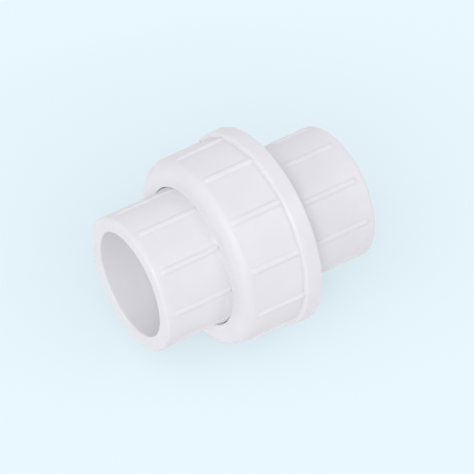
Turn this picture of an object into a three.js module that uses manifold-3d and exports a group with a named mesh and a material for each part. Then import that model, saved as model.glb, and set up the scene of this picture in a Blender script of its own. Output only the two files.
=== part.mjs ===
// Union fitting for 32 mm plastic pipe: a union nut, a flanged tailpiece, a threaded end and the O-ring
// that seals between them. Millimetres, +Z up. The pipe axis is X, with +X from the tailpiece to the
// threaded end, and x = 0 is halfway along the assembled fitting.

import * as THREE from 'three';
import { mergeVertices } from 'three/addons/utils/BufferGeometryUtils.js';
import Module from 'manifold-3d';

const wasm = await Module();
wasm.setup();

// ---------------------------------------------------------------- driving dimensions

const LENGTH = 72;
const HALF_LENGTH = LENGTH / 2;
const RUNNING_GAP = 0.3;
const ROUND_SEGMENTS = 48;
const THREAD_SEGMENTS = 36;
const OVERRUN = 1;

// Solvent-weld sockets, the same on both ends: a slightly tapered bore that ends on a pipe stop.
const SOCKET_DEPTH = 22;
const SOCKET_MOUTH_RADIUS = 16.15;
const SOCKET_ROOT_RADIUS = 15.95;
const SOCKET_MOUTH_CHAMFER = 0.4;
const WATERWAY_RADIUS = 14;
const PIPE_STOP_X = HALF_LENGTH - SOCKET_DEPTH;

// Outside of the sockets: ten crowned panels between narrow raised ribs. Flatness is 0 for panels that
// follow the round barrel and 1 for true flats. The ribs end short of the rounded mouth.
const SOCKET_PANELS = 10;
const SOCKET_FLATNESS = 0.1;
const SOCKET_RIB_RADIUS = 21.2;
const SOCKET_RIB_WIDTH = 1.2;
const SOCKET_RIB_HEIGHT = 0.4;
const SOCKET_RIB_SETBACK = 2.4;
const SOCKET_RIB_END_LENGTH = 1;
const SOCKET_MOUTH_ROUND = 0.9;
const TAILPIECE_RIB_ANGLE = 25.5;
const THREADED_END_RIB_ANGLE = 22.5;
const RIB_FLANK = 0.45;
const PANEL_STEPS = 4;

// Union nut: twelve crowned panels between ribs, a rounded front shoulder, and a round collar at the
// open end.
const NUT_FRONT_X = -15;
const NUT_COLLAR_X = 4.4;
const NUT_BACK_X = 9.8;
const NUT_COLLAR_RADIUS = 30.7;
const NUT_COLLAR_CHAMFER = 0.6;
const NUT_PANELS = 12;
const NUT_RIB_RADIUS = 29.75;
const NUT_FLATNESS = 0.1;
const NUT_RIB_WIDTH = 1.3;
const NUT_RIB_HEIGHT = 0.6;
const NUT_RIB_SETBACK = 3.6;
const NUT_RIB_END_LENGTH = 0.8;
const NUT_RIB_ANGLE = 4;
const NUT_DRAFT = 0.017;
const NUT_SHOULDER_LENGTH = 3.4;
const NUT_SHOULDER_DROP = 4.2;
const NUT_SHOULDER_WALL = 3.6;
const NUT_HOLE_RADIUS = SOCKET_RIB_RADIUS + RUNNING_GAP;
const NUT_HOLE_CHAMFER = 0.5;
const NUT_CAVITY_RADIUS = 24.4;
const NUT_CAVITY_LENGTH = 5.2;
const NUT_MOUTH_CHAMFER = 1;

// Tailpiece flange, held between the nut's shoulder and the seal.
const FLANGE_RADIUS = 23.3;
const FLANGE_BACK_X = NUT_FRONT_X + NUT_SHOULDER_WALL + RUNNING_GAP;
const NECK_OVERHANG = 0.2;
const NECK_X = NUT_FRONT_X - NECK_OVERHANG;
const SEAL_FACE_X = -6.7;
const FLANGE_CHAMFER = 0.4;

// Threaded end: its front face meets the flange, with the O-ring in a face groove.
const END_FACE_X = SEAL_FACE_X + RUNNING_GAP;
const END_FACE_CHAMFER = 0.6;
const THREAD_BACK_X = 8.6;
const O_RING_RADIUS = 19.4;
const O_RING_WIDTH = 3;
const O_RING_THICKNESS = 2.5;
const O_RING_SEGMENTS = 12;
const GROOVE_WIDTH = O_RING_WIDTH + 2 * RUNNING_GAP;
const GROOVE_DEPTH = O_RING_THICKNESS + RUNNING_GAP;

// Right-hand trapezoidal thread. Radii are the male and female crests and roots.
const PITCH = 3.5;
const FLANK_ANGLE = THREE.MathUtils.degToRad(15);
const MALE_ROOT_RADIUS = 23.6;
const MALE_CREST_RADIUS = 25.2;
const FEMALE_CREST_RADIUS = 23.9;
const FEMALE_ROOT_RADIUS = 25.6;
const PITCH_RADIUS = (MALE_ROOT_RADIUS + FEMALE_ROOT_RADIUS) / 2;
const RIDGE_WIDTH = PITCH / 2 - RUNNING_GAP;
const RIDGE_SINK = 0.5;
const RUNOUT_TURNS = 0.12;
const MALE_START_X = -4;
const MALE_TURNS = 3.35;
const FEMALE_START_X = MALE_START_X + PITCH / 2;
const FEMALE_TURNS = 2.85;

// ---------------------------------------------------------------- solids

// A closed geometry as a manifold solid. Shared vertices are joined, and slivers with no area dropped.
function toSolid(geometry) {
  const bare = geometry.clone();
  bare.deleteAttribute('normal');
  bare.deleteAttribute('uv');
  const merged = mergeVertices(bare, 1e-4);
  const triangles = [];
  for (let i = 0; i < merged.index.count; i += 3) {
    const [a, b, c] = [0, 1, 2].map((k) => merged.index.getX(i + k));
    if (a !== b && b !== c && c !== a) triangles.push(a, b, c);
  }
  return new wasm.Manifold(new wasm.Mesh({
    numProp: 3,
    vertProperties: new Float32Array(merged.attributes.position.array),
    triVerts: new Uint32Array(triangles),
  }));
}

function toGeometry(solid) {
  const mesh = solid.getMesh();
  const geometry = new THREE.BufferGeometry();
  geometry.setAttribute('position', new THREE.BufferAttribute(mesh.vertProperties, mesh.numProp));
  geometry.setIndex(new THREE.BufferAttribute(mesh.triVerts, 1));
  geometry.computeVertexNormals();
  return geometry;
}

// A profile of [x, radius] pairs, listed with rising x, turned about the X axis.
function turned(profile) {
  const points = profile.map(([x, radius]) => new THREE.Vector2(radius, x));
  const geometry = new THREE.LatheGeometry(points, ROUND_SEGMENTS);
  // The lathe turns about Y, so its Y becomes X, and its X axis becomes the fitting's Y.
  geometry.applyMatrix4(new THREE.Matrix4().makeBasis(
    new THREE.Vector3(0, 1, 0),
    new THREE.Vector3(1, 0, 0),
    new THREE.Vector3(0, 0, 1),
  ));
  reverseFaces(geometry);
  return geometry;
}

// The change of axes is a reflection, so the triangles are turned over to face outwards again.
function reverseFaces(geometry) {
  const index = geometry.index;
  for (let i = 0; i < index.count; i += 3) {
    const second = index.getX(i + 1);
    index.setX(i + 1, index.getX(i + 2));
    index.setX(i + 2, second);
  }
}

// Points of a rounded corner that faces -X and outwards, listed with rising x: a quarter ellipse from the
// face at faceX to the barrel of the given radius.
function roundedCorner(faceX, radius, length, drop, steps = 4) {
  const points = [];
  for (let i = 0; i <= steps; i += 1) {
    const angle = (Math.PI / 2) * (i / steps);
    points.push([faceX + length * (1 - Math.cos(angle)), radius - drop * (1 - Math.sin(angle))]);
  }
  return points;
}

// The outline of a barrel of crowned panels with a raised rib between each two, in the plane across the
// axis. The angle is that of one rib's middle, measured from +Y towards +Z.
function ribbedOutline({ panels, flatness, ribRadius, ribWidth, ribHeight, ribAngle }) {
  const cornerRadius = ribRadius - ribHeight;
  const halfPanel = Math.PI / panels;
  const crestEdge = ribWidth / 2 / ribRadius;
  const foot = (ribWidth / 2 + RIB_FLANK) / cornerRadius;
  const panelRadius = (fromRib) => {
    const flatRadius = (cornerRadius * Math.cos(halfPanel)) / Math.cos(halfPanel - fromRib);
    return THREE.MathUtils.lerp(cornerRadius, flatRadius, flatness);
  };
  const points = [];
  const addPoint = (radius, angle) => {
    points.push(new THREE.Vector2(radius * Math.cos(angle), radius * Math.sin(angle)));
  };
  for (let i = 0; i < panels; i += 1) {
    const ribMiddle = THREE.MathUtils.degToRad(ribAngle) + i * 2 * halfPanel;
    addPoint(ribRadius, ribMiddle - crestEdge);
    addPoint(ribRadius, ribMiddle + crestEdge);
    for (let k = 0; k <= PANEL_STEPS; k += 1) {
      const fromRib = THREE.MathUtils.lerp(foot, 2 * halfPanel - foot, k / PANEL_STEPS);
      addPoint(panelRadius(fromRib), ribMiddle + fromRib);
    }
  }
  return points;
}

// The ribbed prism from one x to another. Draft narrows it towards its first end.
function ribbedBarrel(fromX, toX, outline, draft = 0) {
  const length = toX - fromX;
  // The extrusion runs along Z, so the outline's axes become Y and Z and its depth becomes X.
  const shape = new THREE.Shape(outline);
  const geometry = new THREE.ExtrudeGeometry(shape, { depth: length, bevelEnabled: false });
  geometry.applyMatrix4(new THREE.Matrix4().makeBasis(
    new THREE.Vector3(0, 1, 0),
    new THREE.Vector3(0, 0, 1),
    new THREE.Vector3(1, 0, 0),
  ));
  geometry.translate(fromX, 0, 0);
  const position = geometry.attributes.position;
  const endRadius = Math.max(...outline.map((point) => point.length()));
  for (let i = 0; i < position.count; i += 1) {
    const narrowing = (draft * (toX - position.getX(i))) / endRadius;
    position.setY(i, position.getY(i) * (1 - narrowing));
    position.setZ(i, position.getZ(i) * (1 - narrowing));
  }
  return toSolid(geometry);
}

// One helical thread ridge, as a swept trapezoid. It stands from its foot radius to its crest radius and
// sinks into its foot at both ends. A ridge whose crest radius is the smaller one points inwards.
function threadRidge({ startX, turns, footRadius, crestRadius }) {
  const outwards = Math.sign(crestRadius - footRadius);
  const sunkRadius = footRadius - outwards * RIDGE_SINK;
  const steps = Math.round(turns * THREAD_SEGMENTS);
  const positions = [];
  for (let i = 0; i <= steps; i += 1) {
    const turn = (turns * i) / steps;
    const toEnd = Math.min(turn, turns - turn) / RUNOUT_TURNS;
    const rise = Math.min(1, toEnd);
    const topRadius = THREE.MathUtils.lerp(sunkRadius + outwards * RIDGE_SINK * 0.5, crestRadius, rise);
    const section = [
      [-halfWidth(sunkRadius, outwards), sunkRadius],
      [-halfWidth(topRadius, outwards), topRadius],
      [halfWidth(topRadius, outwards), topRadius],
      [halfWidth(sunkRadius, outwards), sunkRadius],
    ];
    const angle = turn * 2 * Math.PI;
    for (const [side, radius] of section) {
      positions.push(startX + PITCH * turn + side, radius * Math.cos(angle), radius * Math.sin(angle));
    }
  }
  const geometry = new THREE.BufferGeometry();
  geometry.setAttribute('position', new THREE.Float32BufferAttribute(positions, 3));
  geometry.setIndex(sweptFaces(steps, 4, outwards < 0));
  return toSolid(geometry);
}

// Half the axial width of a ridge at a radius: its flanks lean in towards the crest.
function halfWidth(radius, outwards) {
  return RIDGE_WIDTH / 2 - outwards * (radius - PITCH_RADIUS) * Math.tan(FLANK_ANGLE);
}

// Triangles of a sweep of a closed section with flat ends.
function sweptFaces(steps, corners, flipped) {
  const faces = [];
  const quad = (a, b, c, d) => {
    faces.push(...(flipped ? [a, b, c, a, c, d] : [a, c, b, a, d, c]));
  };
  for (let i = 0; i < steps; i += 1) {
    for (let j = 0; j < corners; j += 1) {
      const next = (j + 1) % corners;
      quad(i * corners + j, i * corners + next, (i + 1) * corners + next, (i + 1) * corners + j);
    }
  }
  const last = steps * corners;
  quad(0, 3, 2, 1);
  quad(last, last + 1, last + 2, last + 3);
  return faces;
}

// ---------------------------------------------------------------- features

const socketRibs = (ribAngle) => ribbedOutline({
  panels: SOCKET_PANELS,
  flatness: SOCKET_FLATNESS,
  ribRadius: SOCKET_RIB_RADIUS,
  ribWidth: SOCKET_RIB_WIDTH,
  ribHeight: SOCKET_RIB_HEIGHT,
  ribAngle,
});

// Round limits that cut a ribbed barrel: a rounded face, a plain stretch, and from ribX on a slope that
// lets the ribs rise to their full height over endLength.
function ribbedLimits({ faceX, corner, plainRadius, ribX, ribHeight, endLength, toX }) {
  const room = ribHeight + OVERRUN;
  return toSolid(turned([
    [faceX, 0],
    ...corner,
    [ribX, plainRadius],
    [ribX + (room * endLength) / ribHeight, plainRadius + room],
    [toX, plainRadius + room],
    [toX, 0],
  ]));
}

// Socket outside, drawn for the mouth at -X.
function socketOutside(innerX, ribAngle) {
  const plainRadius = SOCKET_RIB_RADIUS - SOCKET_RIB_HEIGHT;
  const limits = ribbedLimits({
    faceX: -HALF_LENGTH,
    corner: roundedCorner(-HALF_LENGTH, plainRadius, SOCKET_MOUTH_ROUND, SOCKET_MOUTH_ROUND),
    plainRadius,
    ribX: -HALF_LENGTH + SOCKET_RIB_SETBACK,
    ribHeight: SOCKET_RIB_HEIGHT,
    endLength: SOCKET_RIB_END_LENGTH,
    toX: innerX,
  });
  const barrel = ribbedBarrel(-HALF_LENGTH - OVERRUN, innerX + OVERRUN, socketRibs(ribAngle));
  return barrel.intersect(limits);
}

// The space inside the tailpiece, for the mouth at -X: pipe socket, pipe stop and waterway.
function socketInside(innerX) {
  return toSolid(turned([
    [-HALF_LENGTH - OVERRUN, 0],
    [-HALF_LENGTH - OVERRUN, SOCKET_MOUTH_RADIUS + SOCKET_MOUTH_CHAMFER + OVERRUN],
    [-HALF_LENGTH + SOCKET_MOUTH_CHAMFER, SOCKET_MOUTH_RADIUS],
    [-PIPE_STOP_X, SOCKET_ROOT_RADIUS],
    [-PIPE_STOP_X, WATERWAY_RADIUS],
    [innerX + OVERRUN, WATERWAY_RADIUS],
    [innerX + OVERRUN, 0],
  ]));
}

// ---------------------------------------------------------------- sub-parts

function unionNut() {
  const ribs = ribbedOutline({
    panels: NUT_PANELS,
    flatness: NUT_FLATNESS,
    ribRadius: NUT_RIB_RADIUS,
    ribWidth: NUT_RIB_WIDTH,
    ribHeight: NUT_RIB_HEIGHT,
    ribAngle: NUT_RIB_ANGLE,
  });
  const barrel = ribbedBarrel(NUT_FRONT_X - OVERRUN, NUT_COLLAR_X + OVERRUN, ribs, NUT_DRAFT);
  const length = NUT_COLLAR_X - NUT_FRONT_X;
  const plainRadius = NUT_RIB_RADIUS - NUT_RIB_HEIGHT - NUT_DRAFT * length;
  const limits = ribbedLimits({
    faceX: NUT_FRONT_X,
    corner: roundedCorner(NUT_FRONT_X, plainRadius, NUT_SHOULDER_LENGTH, NUT_SHOULDER_DROP, 6),
    plainRadius,
    ribX: NUT_FRONT_X + NUT_RIB_SETBACK,
    ribHeight: NUT_RIB_HEIGHT,
    endLength: NUT_RIB_END_LENGTH,
    toX: NUT_COLLAR_X,
  });
  const collar = toSolid(turned([
    [NUT_COLLAR_X, 0],
    [NUT_COLLAR_X, NUT_COLLAR_RADIUS - NUT_COLLAR_CHAMFER],
    [NUT_COLLAR_X + NUT_COLLAR_CHAMFER, NUT_COLLAR_RADIUS],
    [NUT_BACK_X - NUT_COLLAR_CHAMFER, NUT_COLLAR_RADIUS],
    [NUT_BACK_X, NUT_COLLAR_RADIUS - NUT_COLLAR_CHAMFER],
    [NUT_BACK_X, 0],
  ]));
  return barrel.intersect(limits).add(collar).subtract(nutInside()).add(threadRidge({
    startX: FEMALE_START_X,
    turns: FEMALE_TURNS,
    footRadius: FEMALE_ROOT_RADIUS,
    crestRadius: FEMALE_CREST_RADIUS,
  }));
}

// The space inside the nut: the hole in its shoulder, the flange's cavity and the thread's root.
function nutInside() {
  const wallX = NUT_FRONT_X + NUT_SHOULDER_WALL;
  const threadX = wallX + NUT_CAVITY_LENGTH;
  return toSolid(turned([
    [NUT_FRONT_X - OVERRUN, 0],
    [NUT_FRONT_X - OVERRUN, NUT_HOLE_RADIUS + NUT_HOLE_CHAMFER + OVERRUN],
    [NUT_FRONT_X + NUT_HOLE_CHAMFER, NUT_HOLE_RADIUS],
    [wallX, NUT_HOLE_RADIUS],
    [wallX, NUT_CAVITY_RADIUS],
    [threadX, NUT_CAVITY_RADIUS],
    [threadX, FEMALE_ROOT_RADIUS],
    [NUT_BACK_X - NUT_MOUTH_CHAMFER, FEMALE_ROOT_RADIUS],
    [NUT_BACK_X + OVERRUN, FEMALE_ROOT_RADIUS + NUT_MOUTH_CHAMFER + OVERRUN],
    [NUT_BACK_X + OVERRUN, 0],
  ]));
}

function tailpiece() {
  const neckAndFlange = toSolid(turned([
    [NECK_X, 0],
    [NECK_X, SOCKET_RIB_RADIUS],
    [FLANGE_BACK_X, SOCKET_RIB_RADIUS],
    [FLANGE_BACK_X, FLANGE_RADIUS - FLANGE_CHAMFER],
    [FLANGE_BACK_X + FLANGE_CHAMFER, FLANGE_RADIUS],
    [SEAL_FACE_X - FLANGE_CHAMFER, FLANGE_RADIUS],
    [SEAL_FACE_X, FLANGE_RADIUS - FLANGE_CHAMFER],
    [SEAL_FACE_X, 0],
  ]));
  const barrel = socketOutside(FLANGE_BACK_X + OVERRUN, TAILPIECE_RIB_ANGLE);
  return barrel.add(neckAndFlange).subtract(socketInside(SEAL_FACE_X));
}

function threadedEnd() {
  const neckX = THREAD_BACK_X + MALE_ROOT_RADIUS - SOCKET_RIB_RADIUS;
  const core = toSolid(turned([
    [END_FACE_X, 0],
    [END_FACE_X, MALE_ROOT_RADIUS - END_FACE_CHAMFER],
    [END_FACE_X + END_FACE_CHAMFER, MALE_ROOT_RADIUS],
    [THREAD_BACK_X, MALE_ROOT_RADIUS],
    [neckX, SOCKET_RIB_RADIUS],
    [neckX, 0],
  ]));
  const groove = toSolid(ringGeometry(END_FACE_X - OVERRUN, END_FACE_X + GROOVE_DEPTH, GROOVE_WIDTH));
  // The socket is drawn for a mouth at -X, then turned half round the Z axis, which turns its ribs over.
  const socket = socketOutside(-neckX + OVERRUN, 180 - THREADED_END_RIB_ANGLE).rotate([0, 0, 180]);
  const space = socketInside(-END_FACE_X).rotate([0, 0, 180]);
  return core.add(socket).subtract(space).subtract(groove).add(threadRidge({
    startX: MALE_START_X,
    turns: MALE_TURNS,
    footRadius: MALE_ROOT_RADIUS,
    crestRadius: MALE_CREST_RADIUS,
  }));
}

// A ring of rectangular section at the seal's radius.
function ringGeometry(fromX, toX, width) {
  return turned([
    [fromX, O_RING_RADIUS - width / 2],
    [fromX, O_RING_RADIUS + width / 2],
    [toX, O_RING_RADIUS + width / 2],
    [toX, O_RING_RADIUS - width / 2],
    [fromX, O_RING_RADIUS - width / 2],
  ]);
}

// The O-ring as it sits squeezed between the faces: an oval section.
function oRing() {
  const middleX = END_FACE_X + O_RING_THICKNESS / 2;
  const section = [];
  for (let i = 0; i <= O_RING_SEGMENTS; i += 1) {
    const angle = Math.PI - (2 * Math.PI * i) / O_RING_SEGMENTS;
    section.push([
      middleX + (O_RING_THICKNESS / 2) * Math.cos(angle),
      O_RING_RADIUS + (O_RING_WIDTH / 2) * Math.sin(angle),
    ]);
  }
  return toSolid(turned(section));
}

// ---------------------------------------------------------------- assembly

const WHITE_PVC = { color: 0xe8e7ec, roughness: 0.42, metalness: 0 };
const BLACK_RUBBER = { color: 0x17171a, roughness: 0.75, metalness: 0 };

const fitting = new THREE.Group();

function addPart(name, solid, look) {
  const mesh = new THREE.Mesh(toGeometry(solid), new THREE.MeshStandardMaterial(look));
  mesh.name = name;
  fitting.add(mesh);
}

addPart('union_nut', unionNut(), WHITE_PVC);
addPart('tailpiece', tailpiece(), WHITE_PVC);
addPart('threaded_end', threadedEnd(), WHITE_PVC);
addPart('o_ring', oRing(), BLACK_RUBBER);

export default fitting;
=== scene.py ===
"""Looks of the PVC union fitting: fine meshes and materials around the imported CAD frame.

Blender units are metres. The shapes below are worked out in millimetres and scaled once, when a
mesh is made. The pipe axis is X, and angles run from +Y towards +Z, as they do in the CAD model.
"""

import math

import bmesh
import bpy
from mathutils import Matrix, Vector


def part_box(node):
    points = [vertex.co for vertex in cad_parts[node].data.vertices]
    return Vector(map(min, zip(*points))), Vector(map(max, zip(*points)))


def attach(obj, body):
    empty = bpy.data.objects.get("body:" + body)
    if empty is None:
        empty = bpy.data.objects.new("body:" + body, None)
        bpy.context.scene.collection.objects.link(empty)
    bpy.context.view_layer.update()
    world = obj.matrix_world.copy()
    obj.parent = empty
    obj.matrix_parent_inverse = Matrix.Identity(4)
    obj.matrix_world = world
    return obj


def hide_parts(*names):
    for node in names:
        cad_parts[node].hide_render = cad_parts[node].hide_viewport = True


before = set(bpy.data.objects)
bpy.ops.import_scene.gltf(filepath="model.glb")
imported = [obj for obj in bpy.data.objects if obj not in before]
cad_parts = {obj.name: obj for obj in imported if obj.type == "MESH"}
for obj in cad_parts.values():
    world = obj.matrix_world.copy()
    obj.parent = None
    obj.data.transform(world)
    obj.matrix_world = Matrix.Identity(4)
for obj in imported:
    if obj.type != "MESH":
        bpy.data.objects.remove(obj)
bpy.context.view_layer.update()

MM = 0.001
TURN = 2 * math.pi


def node_box(name):
    """A CAD node's lowest and highest corners, in millimetres."""
    low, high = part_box(name)
    return Vector(low) / MM, Vector(high) / MM


# ---------------------------------------------------------------- sizes, in millimetres

NUT_LOW, NUT_HIGH = node_box("union_nut")
TAIL_HIGH = node_box("tailpiece")[1]
END_LOW, END_HIGH = node_box("threaded_end")
SEAL_LOW, SEAL_HIGH = node_box("o_ring")

HALF_LENGTH = END_HIGH.x
SOCKET_DEPTH = 22.0
SOCKET_MOUTH_RADIUS = 16.15
SOCKET_ROOT_RADIUS = 15.95
WATERWAY_RADIUS = 14.0
PIPE_STOP_X = HALF_LENGTH - SOCKET_DEPTH

SOCKET_PANELS = 10
SOCKET_FLATNESS = 0.1
SOCKET_RIB_RADIUS = 21.2
SOCKET_RIB_WIDTH = 0.6
SOCKET_RIB_HEIGHT = 0.4
SOCKET_RIB_FLANK = 0.8
SOCKET_RIB_SETBACK = 2.0
SOCKET_RIB_RUNOUT = 1.8
SOCKET_MOUTH_ROUND = 0.9
SOCKET_RIM_ROUND = 0.6
SOCKET_ROOT_ROUND = 0.4
PIPE_STOP_ROUND = 0.25
WATERWAY_ROUND = 0.3
TAIL_RIB_ANGLE = math.radians(25.5)
END_RIB_ANGLE = math.radians(22.5)

NUT_FRONT_X = NUT_LOW.x
NUT_BACK_X = NUT_HIGH.x
NUT_COLLAR_X = 4.4
NUT_COLLAR_RADIUS = NUT_HIGH.z
NUT_COLLAR_ROUND = 0.8
NUT_PANELS = 12
NUT_FLATNESS = 0.1
NUT_RIB_RADIUS = 29.75
NUT_RIB_WIDTH = 0.6
NUT_RIB_HEIGHT = 0.6
NUT_RIB_FLANK = 1.0
NUT_RIB_SETBACK = 3.2
NUT_RIB_RUNOUT = 1.0
NUT_RIB_ANGLE = math.radians(4.0)
NUT_DRAFT = 0.017
NUT_SHOULDER_LENGTH = 3.4
NUT_SHOULDER_DROP = 4.2
NUT_HOLE_RADIUS = SOCKET_RIB_RADIUS + 0.3
NUT_HOLE_INNER_ROUND = 0.15
NUT_HOLE_ROUND = 0.4
NUT_COLLAR_FOOT = 0.25
NUT_WALL_X = NUT_FRONT_X + 3.6
NUT_CAVITY_RADIUS = 24.4
NUT_CAVITY_ROUND = 0.5
NUT_THREAD_X = NUT_WALL_X + 5.2
NUT_THREAD_STEP_ROUNDS = (0.15, 0.2)
NUT_BACK_ROUND = 0.6
NUT_MOUTH_CHAMFER = 1.0
NUT_MOUTH_ROUND = 0.2

FLANGE_RADIUS = TAIL_HIGH.z
FLANGE_BACK_X = NUT_WALL_X + 0.3
FLANGE_ROUND = 0.4
FLANGE_ROOT_ROUND = 0.2
TAIL_NECK_STEP = 0.2
SEAL_FACE_X = TAIL_HIGH.x
END_FACE_X = END_LOW.x
END_FACE_ROUND = 0.6
END_NECK_ROUNDS = (0.8, 0.6)
THREAD_BACK_X = 8.6
GROOVE_RADIUS = 19.4
GROOVE_WIDTH = 3.6
GROOVE_DEPTH = 2.8
GROOVE_EDGE_ROUND = 0.15
GROOVE_ROOT_ROUND = 0.5

PITCH = 3.5
FLANK_SLOPE = math.tan(math.radians(15.0))
MALE_ROOT_RADIUS = 23.6
MALE_CREST_RADIUS = 25.2
FEMALE_CREST_RADIUS = 23.9
FEMALE_ROOT_RADIUS = 25.6
PITCH_RADIUS = (MALE_ROOT_RADIUS + FEMALE_ROOT_RADIUS) / 2
RIDGE_WIDTH = PITCH / 2 - 0.3
MALE_START_X = -4.0
MALE_TURNS = 3.35
FEMALE_START_X = MALE_START_X + PITCH / 2
FEMALE_TURNS = 2.85
THREAD_RUNOUT_TURNS = 0.16
RIDGE_EDGE_ROUND = 0.08
MALE_LEAD_IN = 0.8
FEMALE_LEAD_IN = 0.2

# An outline starts and ends with a guide point, which gives the direction of the first and last
# fillet and is cut off again.
GUIDE = 2.0


# ---------------------------------------------------------------- small functions

def smoothstep(low, high, value):
    """An S-shaped rise from 0 at low to 1 at high."""
    t = min(1.0, max(0.0, (value - low) / (high - low)))
    return t * t * (3 - 2 * t)


def mix(a, b, t):
    """a at 0, b at 1 and the values in between."""
    return a + (b - a) * t


def rounded(corners, steps):
    """An open outline of (x, radius, fillet) corners, with an arc where a corner has a fillet."""
    points = []
    for i, (x, radius, fillet) in enumerate(corners):
        here = Vector((x, radius))
        if not fillet or i in (0, len(corners) - 1):
            points.append((x, radius))
            continue
        back = (Vector(corners[i - 1][:2]) - here).normalized()
        ahead = (Vector(corners[i + 1][:2]) - here).normalized()
        half = back.angle(ahead) / 2
        centre = here + (back + ahead).normalized() * fillet / math.sin(half)
        start = here + back * fillet / math.tan(half) - centre
        end = here + ahead * fillet / math.tan(half) - centre
        sweep = math.atan2(start.x * end.y - start.y * end.x, start.dot(end))
        for step in range(steps + 1):
            turned = Matrix.Rotation(sweep * step / steps, 2) @ start
            points.append(tuple(centre + turned))
    return points


# ---------------------------------------------------------------- ribbed and threaded radii

class Ribs:
    """Crowned panels between narrow raised ribs.

    A flatness of 0 gives a round barrel and 1 gives true flats.
    """

    SEAM_HALF_WIDTH = 0.16
    SEAM_HEIGHT = 0.07
    RIB_COLUMNS = 13
    PANEL_COLUMNS = 14
    FLANK_MARGIN = 1.15

    def __init__(self, panels, flatness, radius, width, height, flank, angle):
        self.sector = TURN / panels
        self.flatness = flatness
        self.radius = radius
        self.half_width = width / 2
        self.height = height
        self.angle = angle
        self.flank = flank

    def from_rib(self, theta):
        """The angle from the nearest rib's middle."""
        turned = (theta - self.angle + self.sector / 2) % self.sector
        return turned - self.sector / 2

    def at(self, theta):
        """The radius of the outside at an angle."""
        away = abs(self.from_rib(theta))
        corner = self.radius - self.height
        flat = corner * math.cos(self.sector / 2) / math.cos(self.sector / 2 - away)
        side = self.radius * math.sin(away)
        rise = 1 - smoothstep(self.half_width, self.half_width + self.flank, side)
        return mix(mix(corner, flat, self.flatness), self.radius, rise)

    def seam(self, theta):
        """The height of the mould's parting line, along the first rib and the one opposite."""
        away = abs((theta - self.angle + TURN / 4) % (TURN / 2) - TURN / 4)
        side = self.radius * math.sin(away)
        return self.SEAM_HEIGHT * (1 - smoothstep(0, self.SEAM_HALF_WIDTH, side))

    def angles(self):
        """Angles of the mesh's columns: close together on the ribs, further apart on the panels."""
        edge = (self.half_width + self.FLANK_MARGIN * self.flank) / self.radius
        columns = []
        for i in range(round(TURN / self.sector)):
            rib = self.angle + i * self.sector
            for k in range(self.RIB_COLUMNS):
                columns.append(rib + mix(-edge, edge, k / self.RIB_COLUMNS))
            for k in range(self.PANEL_COLUMNS):
                columns.append(rib + mix(edge, self.sector - edge, k / self.PANEL_COLUMNS))
        for side in (0, TURN / 2):
            for offset in (-1, -0.5, 0.5, 1):
                columns.append(self.angle + side + offset * self.SEAM_HALF_WIDTH / self.radius)
        return sorted(column % TURN for column in columns)


class Thread:
    """A right-hand helical ridge on a round wall, as a radius at a place on the wall."""

    def __init__(self, start_x, turns, root, crest, low_x, high_x):
        self.start_x = start_x
        self.turns = turns
        self.root = root
        self.crest = crest
        self.low_x = low_x
        self.high_x = high_x
        lean = FLANK_SLOPE if crest > root else -FLANK_SLOPE
        self.root_half = RIDGE_WIDTH / 2 - (root - PITCH_RADIUS) * lean
        self.crest_half = RIDGE_WIDTH / 2 - (crest - PITCH_RADIUS) * lean

    def at(self, x, theta):
        """The wall's radius, with the ridge where one passes."""
        along = (x - self.start_x) / PITCH - theta / TURN
        lap = round(along)
        turn = lap + theta / TURN
        if not 0 <= turn <= self.turns:
            return self.root
        side = abs(along - lap) * PITCH
        foot = self.root_half + RIDGE_EDGE_ROUND
        top = self.crest_half - RIDGE_EDGE_ROUND
        rise = smoothstep(foot, top, side)
        runout = smoothstep(0, THREAD_RUNOUT_TURNS, min(turn, self.turns - turn))
        return mix(self.root, self.crest, rise * runout)

    def fractions(self):
        """Places within one pitch where the mesh has rows, from one ridge's middle to the next."""
        near, far = 0.04, 0.22
        marks = [0.0, self.crest_half - far, self.crest_half - near]
        marks += [mix(self.crest_half, self.root_half, k) for k in (0.3, 0.7)]
        marks += [self.root_half + near, self.root_half + far]
        half = [mark / PITCH for mark in marks]
        return half + [0.5] + [1 - place for place in reversed(half[1:])]


# ---------------------------------------------------------------- meshes

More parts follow.
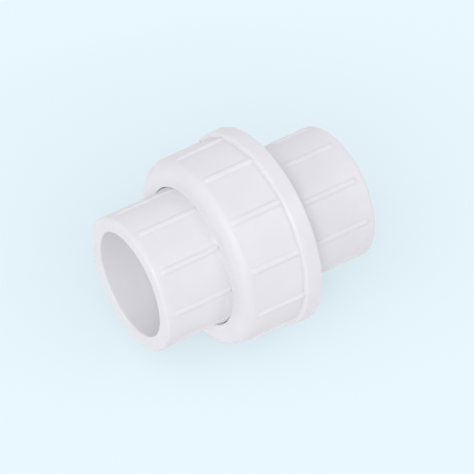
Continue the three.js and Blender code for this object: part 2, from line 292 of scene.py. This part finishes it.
class RingMesh:
    """A closed ring-shaped body, built as rows of points around the X axis."""

    MERGE_DISTANCE = 1e-7
    SHORTEST_EDGE = 1e-8

    def __init__(self, angles):
        self.angles = angles
        self.rows = []
        self.shifts = []

    def add(self, row, shift=0):
        """Add the row that a function gives as (x, radius) for each angle.

        The shift is how many rows further on the row arrives after a full turn.
        """
        self.rows.append([row(theta) for theta in self.angles])
        self.shifts.append(shift)

    def round(self, points):
        """Plain round rows."""
        for x, radius in points:
            self.add(lambda theta, x=x, radius=radius: (x, radius))

    def thread(self, thread):
        """Helical rows along a thread, from its high end back to its low end."""
        marks = thread.fractions()
        laps = math.ceil((thread.high_x - thread.low_x) / PITCH) + 2
        first = thread.start_x - PITCH * math.ceil((thread.start_x - thread.low_x) / PITCH + 1)
        places = [first + PITCH * (lap + mark) for lap in range(laps) for mark in marks]
        for start in reversed(places):
            def row(theta, start=start):
                x = min(thread.high_x, max(thread.low_x, start + PITCH * theta / TURN))
                return (x, thread.at(x, theta))
            self.add(row, -len(marks))

    def mesh(self, name):
        """The Blender mesh, with helical rows closed onto the rows one pitch further on."""
        columns = len(self.angles)
        count = len(self.rows)
        bm = bmesh.new()
        grid = []
        for row in self.rows:
            line = []
            for theta, (x, radius) in zip(self.angles, row):
                place = Vector((x, radius * math.cos(theta), radius * math.sin(theta)))
                line.append(bm.verts.new(place * MM))
            grid.append(line)
        for j in range(count):
            following = (j + 1) % count
            for i in range(columns):
                last = i == columns - 1
                here = self.closing_row(j) if last else j
                there = self.closing_row(following) if last else following
                right = 0 if last else i + 1
                corners = (grid[j][i], grid[here][right], grid[there][right], grid[following][i])
                if len(set(corners)) >= 3:
                    bm.faces.new(dict.fromkeys(corners))
        bmesh.ops.remove_doubles(bm, verts=bm.verts, dist=self.MERGE_DISTANCE)
        bmesh.ops.dissolve_degenerate(bm, edges=bm.edges, dist=self.SHORTEST_EDGE)
        bmesh.ops.recalc_face_normals(bm, faces=bm.faces)
        data = bpy.data.meshes.new(name)
        bm.to_mesh(data)
        bm.free()
        return data

    def closing_row(self, j):
        """The row that a row meets after a full turn, within its own stretch of helical rows."""
        shift = self.shifts[j]
        if not shift:
            return j
        first = last = j
        while first > 0 and self.shifts[first - 1] == shift:
            first -= 1
        while last < len(self.rows) - 1 and self.shifts[last + 1] == shift:
            last += 1
        return min(last, max(first, j + shift))


SHORTEST_BEND = 0.05
BEND_RANGE = 6.0


def mark_edges(data):
    """Store how sharply the surface bends at each vertex: over 0.5 on edges, less in corners."""
    bm = bmesh.new()
    bm.from_mesh(data)
    bends = []
    for vertex in bm.verts:
        bend = 0.0
        for edge in vertex.link_edges:
            along = (edge.other_vert(vertex).co - vertex.co) / MM
            here = -2 * along.dot(vertex.normal) / max(along.length_squared, SHORTEST_BEND ** 2)
            bend = max(bend, here, key=abs)
        bends.append(min(1.0, max(0.0, 0.5 + bend / BEND_RANGE)))
    bm.free()
    marks = data.attributes.new("bend", "FLOAT", "POINT")
    marks.data.foreach_set("value", bends)


def add_piece(name, data, material, body, slot, *nodes):
    """An object of a fine mesh that rides on a body and stands for CAD nodes."""
    mark_edges(data)
    data.materials.append(material)
    for polygon in data.polygons:
        polygon.use_smooth = True
    piece = bpy.data.objects.new(name, data)
    bpy.context.scene.collection.objects.link(piece)
    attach(piece, body)
    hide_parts(*nodes)


# ---------------------------------------------------------------- sub-parts

def socket_ribs(angle):
    """The ribs of both sockets, with one of them at an angle."""
    return Ribs(
        SOCKET_PANELS, SOCKET_FLATNESS, SOCKET_RIB_RADIUS,
        SOCKET_RIB_WIDTH, SOCKET_RIB_HEIGHT, SOCKET_RIB_FLANK, angle,
    )


def socket_rows(ring, ribs, mouth, inner_x):
    """Outside of a socket, from its bore's rim to inner_x. The mouth is -1 or +1 along X."""
    runout_rows, barrel_rows = 12, 8
    plain = SOCKET_RIB_RADIUS - SOCKET_RIB_HEIGHT
    lip = rounded([
        (HALF_LENGTH - GUIDE, SOCKET_MOUTH_RADIUS, 0),
        (HALF_LENGTH, SOCKET_MOUTH_RADIUS, SOCKET_RIM_ROUND),
        (HALF_LENGTH, plain, SOCKET_MOUTH_ROUND),
        (HALF_LENGTH - GUIDE, plain, 0),
    ], steps=10)[1:-1]
    rows = [(x, radius, 0.0) for x, radius in lip]
    start = HALF_LENGTH - SOCKET_RIB_SETBACK
    for k in range(runout_rows + 1):
        rise = smoothstep(0, 1, k / runout_rows)
        rows.append((start - SOCKET_RIB_RUNOUT * k / runout_rows, plain, rise))
    for k in range(1, barrel_rows + 1):
        x = mix(start - SOCKET_RIB_RUNOUT, abs(inner_x), k / barrel_rows)
        rows.append((x, plain, 1.0))
    for x, radius, ribbed in rows:
        def row(theta, x=x, radius=radius, ribbed=ribbed):
            return (mouth * x, mix(radius, ribs.at(theta) + ribs.seam(theta), ribbed))
        ring.add(row)


def socket_inside(mouth):
    """Bore, pipe stop and waterway, from the waterway's end to just inside the mouth."""
    outline = rounded([
        (0, WATERWAY_RADIUS, 0),
        (PIPE_STOP_X, WATERWAY_RADIUS, PIPE_STOP_ROUND),
        (PIPE_STOP_X, SOCKET_ROOT_RADIUS, SOCKET_ROOT_ROUND),
        (HALF_LENGTH - 1, SOCKET_MOUTH_RADIUS, 0),
    ], steps=4)[1:]
    return [(mouth * x, radius) for x, radius in outline]


def tailpiece():
    """Ribbed socket, a round neck in the nut's hole, and the flange that the nut pulls on."""
    ribs = socket_ribs(TAIL_RIB_ANGLE)
    ring = RingMesh(ribs.angles())
    socket_rows(ring, ribs, -1, NUT_FRONT_X - TAIL_NECK_STEP)
    ring.round(rounded([
        (NUT_FRONT_X + TAIL_NECK_STEP, SOCKET_RIB_RADIUS, 0),
        (FLANGE_BACK_X, SOCKET_RIB_RADIUS, FLANGE_ROOT_ROUND),
        (FLANGE_BACK_X, FLANGE_RADIUS, FLANGE_ROUND),
        (SEAL_FACE_X, FLANGE_RADIUS, FLANGE_ROUND),
        (SEAL_FACE_X, WATERWAY_RADIUS, WATERWAY_ROUND),
        (PIPE_STOP_X, WATERWAY_RADIUS, 0),
    ], steps=4)[:-1])
    ring.round(socket_inside(-1))
    return ring.mesh("tailpiece_body")


def threaded_end():
    """Ribbed socket, sloping neck, male thread, and a front face with the O-ring's groove."""
    ribs = socket_ribs(END_RIB_ANGLE)
    thread = Thread(
        MALE_START_X, MALE_TURNS, MALE_ROOT_RADIUS, MALE_CREST_RADIUS,
        END_FACE_X + MALE_LEAD_IN, THREAD_BACK_X,
    )
    ring = RingMesh(ribs.angles())
    neck_x = THREAD_BACK_X + MALE_ROOT_RADIUS - SOCKET_RIB_RADIUS
    socket_rows(ring, ribs, 1, neck_x + 1)
    ring.round(rounded([
        (neck_x + GUIDE, SOCKET_RIB_RADIUS, 0),
        (neck_x, SOCKET_RIB_RADIUS, END_NECK_ROUNDS[0]),
        (THREAD_BACK_X, MALE_ROOT_RADIUS, END_NECK_ROUNDS[1]),
        (THREAD_BACK_X - GUIDE, MALE_ROOT_RADIUS, 0),
    ], steps=4)[1:-1])
    ring.thread(thread)
    groove = GROOVE_WIDTH / 2
    ring.round(rounded([
        (THREAD_BACK_X, MALE_ROOT_RADIUS, 0),
        (END_FACE_X, MALE_ROOT_RADIUS, END_FACE_ROUND),
        (END_FACE_X, GROOVE_RADIUS + groove, GROOVE_EDGE_ROUND),
        (END_FACE_X + GROOVE_DEPTH, GROOVE_RADIUS + groove, GROOVE_ROOT_ROUND),
        (END_FACE_X + GROOVE_DEPTH, GROOVE_RADIUS - groove, GROOVE_ROOT_ROUND),
        (END_FACE_X, GROOVE_RADIUS - groove, GROOVE_EDGE_ROUND),
        (END_FACE_X, WATERWAY_RADIUS, WATERWAY_ROUND),
        (PIPE_STOP_X, WATERWAY_RADIUS, 0),
    ], steps=4)[1:-1])
    ring.round(socket_inside(1))
    return ring.mesh("threaded_end_body")


def oval_corner(face_x, radius, length, drop, steps):
    """A quarter ellipse from a face at face_x to a barrel of a radius."""
    points = []
    for k in range(steps + 1):
        angle = TURN / 4 * k / steps
        x = face_x + length * (1 - math.cos(angle))
        points.append((x, radius - drop * (1 - math.sin(angle))))
    return points


def nut_outside(ring, ribs):
    """Front face, rounded shoulder, ribbed barrel and the step up to the collar."""
    shoulder_rows, barrel_rows = 28, 16
    plain = NUT_RIB_RADIUS - NUT_RIB_HEIGHT
    shoulder = plain - NUT_DRAFT * (NUT_COLLAR_X - NUT_FRONT_X)
    rows = rounded([
        (NUT_WALL_X, NUT_HOLE_RADIUS, 0),
        (NUT_FRONT_X, NUT_HOLE_RADIUS, NUT_HOLE_ROUND),
        (NUT_FRONT_X, shoulder, 0),
    ], steps=6)[1:-1]
    rows += oval_corner(
        NUT_FRONT_X, shoulder, NUT_SHOULDER_LENGTH, NUT_SHOULDER_DROP, shoulder_rows
    )
    barrel_x = NUT_FRONT_X + NUT_SHOULDER_LENGTH
    foot = NUT_COLLAR_FOOT
    for k in range(1, barrel_rows + 1):
        x = mix(barrel_x, NUT_COLLAR_X - foot, k / barrel_rows)
        rows.append((x, mix(shoulder, plain, k / barrel_rows)))
    for offset, rise in [(foot / 2, 0.1 * foot), (foot / 6, 0.4 * foot), (0, foot)]:
        rows.append((NUT_COLLAR_X - offset, plain + rise))
    rib_x = NUT_FRONT_X + NUT_RIB_SETBACK
    for x, radius in rows:
        ribbed = smoothstep(rib_x, rib_x + NUT_RIB_RUNOUT, x)

        def row(theta, x=x, radius=radius, ribbed=ribbed):
            return (x, radius + ribbed * (ribs.at(theta) - plain + ribs.seam(theta)))
        ring.add(row)
    ring.round(rounded([
        (NUT_COLLAR_X, NUT_COLLAR_RADIUS - GUIDE, 0),
        (NUT_COLLAR_X, NUT_COLLAR_RADIUS, NUT_COLLAR_ROUND),
        (NUT_BACK_X, NUT_COLLAR_RADIUS, NUT_BACK_ROUND),
        (NUT_BACK_X, FEMALE_ROOT_RADIUS + NUT_MOUTH_CHAMFER, NUT_MOUTH_ROUND),
        (NUT_BACK_X - NUT_MOUTH_CHAMFER, FEMALE_ROOT_RADIUS, 0),
    ], steps=8)[1:])


def union_nut():
    """The nut's outside, its female thread, the cavity for the flange and the tailpiece's hole."""
    ribs = Ribs(
        NUT_PANELS, NUT_FLATNESS, NUT_RIB_RADIUS,
        NUT_RIB_WIDTH, NUT_RIB_HEIGHT, NUT_RIB_FLANK, NUT_RIB_ANGLE,
    )
    thread = Thread(
        FEMALE_START_X, FEMALE_TURNS, FEMALE_ROOT_RADIUS, FEMALE_CREST_RADIUS,
        NUT_THREAD_X + FEMALE_LEAD_IN, NUT_BACK_X - NUT_MOUTH_CHAMFER - 0.05,
    )
    ring = RingMesh(ribs.angles())
    nut_outside(ring, ribs)
    ring.thread(thread)
    ring.round(rounded([
        (NUT_THREAD_X + GUIDE, FEMALE_ROOT_RADIUS, 0),
        (NUT_THREAD_X, FEMALE_ROOT_RADIUS, NUT_THREAD_STEP_ROUNDS[0]),
        (NUT_THREAD_X, NUT_CAVITY_RADIUS, NUT_THREAD_STEP_ROUNDS[1]),
        (NUT_WALL_X, NUT_CAVITY_RADIUS, NUT_CAVITY_ROUND),
        (NUT_WALL_X, NUT_HOLE_RADIUS, NUT_HOLE_INNER_ROUND),
        (NUT_FRONT_X, NUT_HOLE_RADIUS, 0),
    ], steps=4)[1:-1])
    return ring.mesh("union_nut_body")


def seal_ring():
    """The O-ring's oval section, swept round the axis."""
    around, across = 360, 40
    ring = RingMesh([TURN * k / around for k in range(around)])
    middle = (SEAL_LOW.x + SEAL_HIGH.x) / 2
    half_x = (SEAL_HIGH.x - SEAL_LOW.x) / 2
    half_radius = SEAL_HIGH.z - GROOVE_RADIUS
    section = []
    for k in range(across):
        angle = TURN * k / across
        x = middle + half_x * math.cos(angle)
        section.append((x, GROOVE_RADIUS + half_radius * math.sin(angle)))
    ring.round(section)
    return ring.mesh("seal_ring_body")


# ---------------------------------------------------------------- materials

# Noise scales are per millimetre and bump heights are in millimetres.
NUT_WHITE = (0.875, 0.87, 0.895)
SOCKET_WHITE = (0.865, 0.86, 0.885)
MOTTLE_SHADE = 0.97
MOTTLE_SCALE = 0.12
# Painted shade: this colour darkens concave corners, such as the feet of the ribs.
CORNER_PAINTED_SHADE = (0.965, 0.96, 0.95)
PVC_IOR = 1.53
PVC_SUBSURFACE = 0.3
PVC_SUBSURFACE_DEPTH = 0.9
PVC_ROUGHNESS = (0.40, 0.52)
GRAIN_SCALE = 2.5
GRAIN_HEIGHT = 0.014
DRAW_SCALE = 2.2
DRAW_STRETCH = 0.04
DRAW_HEIGHT = 0.03
HANDLED_POLISH = 0.72
RUBBED_POLISH = 0.82
BUMP_STRENGTH = 0.5

RUBBER_BLACK = (0.012, 0.012, 0.013)
RUBBER_BLOOM = (0.03, 0.03, 0.031)
RUBBER_ROUGHNESS = (0.45, 0.7)
BLOOM_SCALE = 0.3
RUBBER_GRAIN_SCALE = 6.0
RUBBER_GRAIN_HEIGHT = 0.02


def principled(name):
    """A new material, its nodes, its links and its Principled shader."""
    material = bpy.data.materials.new(name)
    material.use_nodes = True
    nodes = material.node_tree.nodes
    return material, nodes, material.node_tree.links, nodes["Principled BSDF"]


def ramp(nodes, stops):
    """A colour ramp of (position, colour) stops."""
    node = nodes.new("ShaderNodeValToRGB")
    for element, (position, colour) in zip(node.color_ramp.elements, stops):
        element.position = position
        element.color = (*colour, 1)
    return node


def noise(nodes, links, vector, scale, detail):
    """Noise between 0 and 1."""
    node = nodes.new("ShaderNodeTexNoise")
    node.inputs["Scale"].default_value = scale
    node.inputs["Detail"].default_value = detail
    links.new(vector, node.inputs["Vector"])
    return node.outputs["Fac"]


def mapped(nodes, links, vector, scale):
    """A place, scaled along each axis."""
    node = nodes.new("ShaderNodeMapping")
    node.inputs["Scale"].default_value = scale
    links.new(vector, node.inputs["Vector"])
    return node.outputs["Vector"]


def remapped(nodes, links, value, low, high, to_low, to_high):
    """A value's range from low to high, stretched to another range and kept inside it."""
    node = nodes.new("ShaderNodeMapRange")
    node.inputs["From Min"].default_value = low
    node.inputs["From Max"].default_value = high
    node.inputs["To Min"].default_value = to_low
    node.inputs["To Max"].default_value = to_high
    links.new(value, node.inputs["Value"])
    return node.outputs["Result"]


def multiplied(nodes, links, a, b):
    """The product of two values."""
    node = nodes.new("ShaderNodeMath")
    node.operation = "MULTIPLY"
    links.new(a, node.inputs[0])
    links.new(b, node.inputs[1])
    return node.outputs["Value"]


def bumped(nodes, links, height, distance, normal=None):
    """A normal tilted by a height, on top of another bump's normal if there is one."""
    node = nodes.new("ShaderNodeBump")
    node.inputs["Strength"].default_value = BUMP_STRENGTH
    node.inputs["Distance"].default_value = distance * MM
    links.new(height, node.inputs["Height"])
    if normal:
        links.new(normal, node.inputs["Normal"])
    return node.outputs["Normal"]


def pvc(name, colour):
    """Satin white moulded PVC: mottling, mould grain, draw marks along X, handled edges, painted
    corner shade.
    """
    material, nodes, links, shader = principled(name)
    shader.inputs["IOR"].default_value = PVC_IOR
    shader.inputs["Subsurface Weight"].default_value = PVC_SUBSURFACE
    shader.inputs["Subsurface Radius"].default_value = (1.0, 1.0, 1.0)
    shader.inputs["Subsurface Scale"].default_value = PVC_SUBSURFACE_DEPTH * MM
    place = nodes.new("ShaderNodeTexCoord").outputs["Object"]
    even = mapped(nodes, links, place, (1 / MM, 1 / MM, 1 / MM))
    drawn = mapped(nodes, links, place, (DRAW_STRETCH / MM, 1 / MM, 1 / MM))
    bend = nodes.new("ShaderNodeAttribute")
    bend.attribute_name = "bend"

    mottle = noise(nodes, links, even, MOTTLE_SCALE, 4)
    tint = ramp(nodes, [(0.3, [channel * MOTTLE_SHADE for channel in colour]), (0.7, colour)])
    links.new(mottle, tint.inputs["Fac"])
    # Painted shade, darkest in concave corners and at the feet of the ribs, where the bend mark is
    # low.
    painted_corner_shade = ramp(nodes, [(0.15, CORNER_PAINTED_SHADE), (0.45, (1.0, 1.0, 1.0))])
    links.new(bend.outputs["Fac"], painted_corner_shade.inputs["Fac"])
    shaded = nodes.new("ShaderNodeMix")
    shaded.data_type = "RGBA"
    shaded.blend_type = "MULTIPLY"
    shaded.inputs["Factor"].default_value = 1.0
    links.new(tint.outputs["Color"], shaded.inputs["A"])
    links.new(painted_corner_shade.outputs["Color"], shaded.inputs["B"])
    links.new(shaded.outputs["Result"], shader.inputs["Base Color"])

    grain = noise(nodes, links, even, GRAIN_SCALE, 3)
    draw = noise(nodes, links, drawn, DRAW_SCALE, 5)
    satin = remapped(nodes, links, grain, 0.3, 0.7, *PVC_ROUGHNESS)
    handled = remapped(nodes, links, bend.outputs["Fac"], 0.55, 0.9, 1.0, HANDLED_POLISH)
    rubbed = remapped(nodes, links, draw, 0.5, 0.75, 1.0, RUBBED_POLISH)
    polish = multiplied(nodes, links, satin, handled)
    links.new(multiplied(nodes, links, polish, rubbed), shader.inputs["Roughness"])
    fine = bumped(nodes, links, grain, GRAIN_HEIGHT)
    links.new(bumped(nodes, links, draw, DRAW_HEIGHT, fine), shader.inputs["Normal"])
    return material


def rubber():
    """Black moulded EPDM with a fine grain and a faint bloom."""
    material, nodes, links, shader = principled("epdm_rubber")
    place = nodes.new("ShaderNodeTexCoord").outputs["Object"]
    even = mapped(nodes, links, place, (1 / MM, 1 / MM, 1 / MM))
    bloom = noise(nodes, links, even, BLOOM_SCALE, 4)
    tint = ramp(nodes, [(0.45, RUBBER_BLACK), (0.75, RUBBER_BLOOM)])
    links.new(bloom, tint.inputs["Fac"])
    links.new(tint.outputs["Color"], shader.inputs["Base Color"])
    dulled = remapped(nodes, links, bloom, 0.35, 0.7, *RUBBER_ROUGHNESS)
    links.new(dulled, shader.inputs["Roughness"])
    grain = noise(nodes, links, even, RUBBER_GRAIN_SCALE, 3)
    links.new(bumped(nodes, links, grain, RUBBER_GRAIN_HEIGHT), shader.inputs["Normal"])
    return material


# ---------------------------------------------------------------- stage, in metres

CAMERA_PLACE = Vector((-0.2331, -0.3516, 0.4024))
CAMERA_AHEAD = Vector((0.40092, 0.60224, -0.69034))
CAMERA_SENSOR = 36
CAMERA_LENS = 151.9
CAMERA_REACH = 20

# The floor's outline as (distance from the middle, height). The floor glows, and a painted shadow
# dims the glow where the object hides the side that the lean points to. The glow is the floor's
# brightness where it is hidden and where it is open.
FLOOR_PROFILE = [(0, 0), (2.4, 0), (2.75, 0.07), (3.0, 0.3), (3.1, 0.7), (3.1, 3.0)]
FLOOR_SIDES = 64
FLOOR_MERGE_DISTANCE = 1e-5
FLOOR_COLOUR = (0.10, 0.115, 0.122)
FLOOR_GLOW_COLOUR = (0.815, 0.94, 1.0)
SHADOW_LEAN = (-0.45, -0.74, 0.5)
SHADOW_REACH = 0.12
SHADOW_GLOW = (0.44, 0.885)
SHADOW_SAMPLES = 32

# The dome's brightness along each axis, and how it leans towards one end of each axis.
STUDIO_WHITE = (0.976, 0.972, 1.0)
DOME_SIDES = (0.45, 0.50, 0.56)
DOME_LEAN = (0.09, 0.19, -0.20)

# Each lamp's name, place, diameter and power in watts.
LAMPS = [
    ("key", (-0.7, -0.86, 0.85), 0.55, 6.2),
    ("right_fill", (0.56, -0.84, 0.97), 0.45, 1.7),
    ("left_fill", (-1.2, -0.5, 0.5), 0.45, 2.0),
]


def add_camera():
    """The camera, looking down on the tailpiece's mouth from the front left."""
    data = bpy.data.cameras.new("camera")
    data.sensor_width = CAMERA_SENSOR
    data.lens = CAMERA_LENS
    data.clip_end = CAMERA_REACH
    camera = bpy.data.objects.new("camera", data)
    camera.location = CAMERA_PLACE
    camera.rotation_euler = CAMERA_AHEAD.to_track_quat("-Z", "Y").to_euler()
    bpy.context.scene.collection.objects.link(camera)
    bpy.context.scene.camera = camera


def floor_mesh():
    """A round table top under the nut, which curves up into a wall far off."""
    z = NUT_LOW.z * MM
    bm = bmesh.new()
    for radius, height in FLOOR_PROFILE:
        bm.verts.new((radius, 0, z + height))
    line = list(bm.verts)
    for near, far in zip(line, line[1:]):
        bm.edges.new((near, far))
    outline = bm.verts[:] + bm.edges[:]
    bmesh.ops.spin(
        bm, geom=outline, cent=(0, 0, 0), axis=(0, 0, 1), angle=TURN, steps=FLOOR_SIDES
    )
    bmesh.ops.remove_doubles(bm, verts=bm.verts, dist=FLOOR_MERGE_DISTANCE)
    bmesh.ops.recalc_face_normals(bm, faces=bm.faces)
    bmesh.ops.reverse_faces(bm, faces=bm.faces)
    data = bpy.data.meshes.new("floor")
    bm.to_mesh(data)
    bm.free()
    return data


def floor_material():
    """A pale, matt surface that glows evenly, apart from a painted soft shadow around the object.
    """
    material, nodes, links, shader = principled("pale_floor")
    shader.inputs["Base Color"].default_value = (*FLOOR_COLOUR, 1)
    shader.inputs["Roughness"].default_value = 0.9
    shader.inputs["Specular IOR Level"].default_value = 0.1
    shader.inputs["Emission Color"].default_value = (*FLOOR_GLOW_COLOUR, 1)
    lean = nodes.new("ShaderNodeCombineXYZ")
    for socket, number in zip(lean.inputs, SHADOW_LEAN):
        socket.default_value = number
    # Painted shadow: an ambient-occlusion mask dims the floor's glow near the object.
    painted_shadow_mask = nodes.new("ShaderNodeAmbientOcclusion")
    painted_shadow_mask.samples = SHADOW_SAMPLES
    painted_shadow_mask.inputs["Distance"].default_value = SHADOW_REACH
    links.new(lean.outputs["Vector"], painted_shadow_mask.inputs["Normal"])
    glow = remapped(nodes, links, painted_shadow_mask.outputs["AO"], 0, 1, *SHADOW_GLOW)
    links.new(glow, shader.inputs["Emission Strength"])
    return material


def add_floor():
    """The floor, which only the camera sees, so it neither tints nor shades the object."""
    data = floor_mesh()
    data.materials.append(floor_material())
    floor = bpy.data.objects.new("floor", data)
    bpy.context.scene.collection.objects.link(floor)
    floor.visible_diffuse = False
    floor.visible_glossy = False
    floor.visible_shadow = False


def add_light(name, place, size, power):
    """A round lamp that faces the object."""
    data = bpy.data.lights.new(name, "AREA")
    data.shape = "DISK"
    data.size = size
    data.energy = power
    data.color = STUDIO_WHITE
    light = bpy.data.objects.new(name, data)
    light.location = place
    light.rotation_euler = (-Vector(place)).to_track_quat("-Z", "Y").to_euler()
    bpy.context.scene.collection.objects.link(light)


def add_world():
    """A soft studio dome, with the light that a pale table throws back from below."""
    world = bpy.data.worlds.new("studio")
    world.use_nodes = True
    nodes = world.node_tree.nodes
    links = world.node_tree.links
    direction = nodes.new("ShaderNodeTexCoord").outputs["Generated"]
    either_way = nodes.new("ShaderNodeVectorMath")
    either_way.operation = "ABSOLUTE"
    links.new(direction, either_way.inputs[0])
    strength = nodes.new("ShaderNodeMath")
    strength.operation = "ADD"
    weighted = ((either_way.outputs["Vector"], DOME_SIDES), (direction, DOME_LEAN))
    for socket, (vector, weights) in zip(strength.inputs, weighted):
        part = nodes.new("ShaderNodeVectorMath")
        part.operation = "DOT_PRODUCT"
        part.inputs[1].default_value = weights
        links.new(vector, part.inputs[0])
        links.new(part.outputs["Value"], socket)
    background = nodes["Background"]
    background.inputs["Color"].default_value = (*STUDIO_WHITE, 1)
    links.new(strength.outputs["Value"], background.inputs["Strength"])
    bpy.context.scene.world = world


# ---------------------------------------------------------------- the scene

add_camera()
add_floor()
add_world()
for lamp in LAMPS:
    add_light(*lamp)
bpy.context.scene.view_settings.view_transform = "Standard"

nut_pvc = pvc("white_pvc_nut", NUT_WHITE)
socket_pvc = pvc("white_pvc_sockets", SOCKET_WHITE)

add_piece("nut_shell", union_nut(), nut_pvc, "union_nut", "nut_pvc", "union_nut")
add_piece("tailpiece_body", tailpiece(), socket_pvc, "tailpiece", "socket_pvc", "tailpiece")
add_piece(
    "threaded_end_body", threaded_end(), socket_pvc, "threaded_end", "socket_pvc", "threaded_end"
)
add_piece("seal_ring", seal_ring(), rubber(), "seal", "seal_rubber", "o_ring")
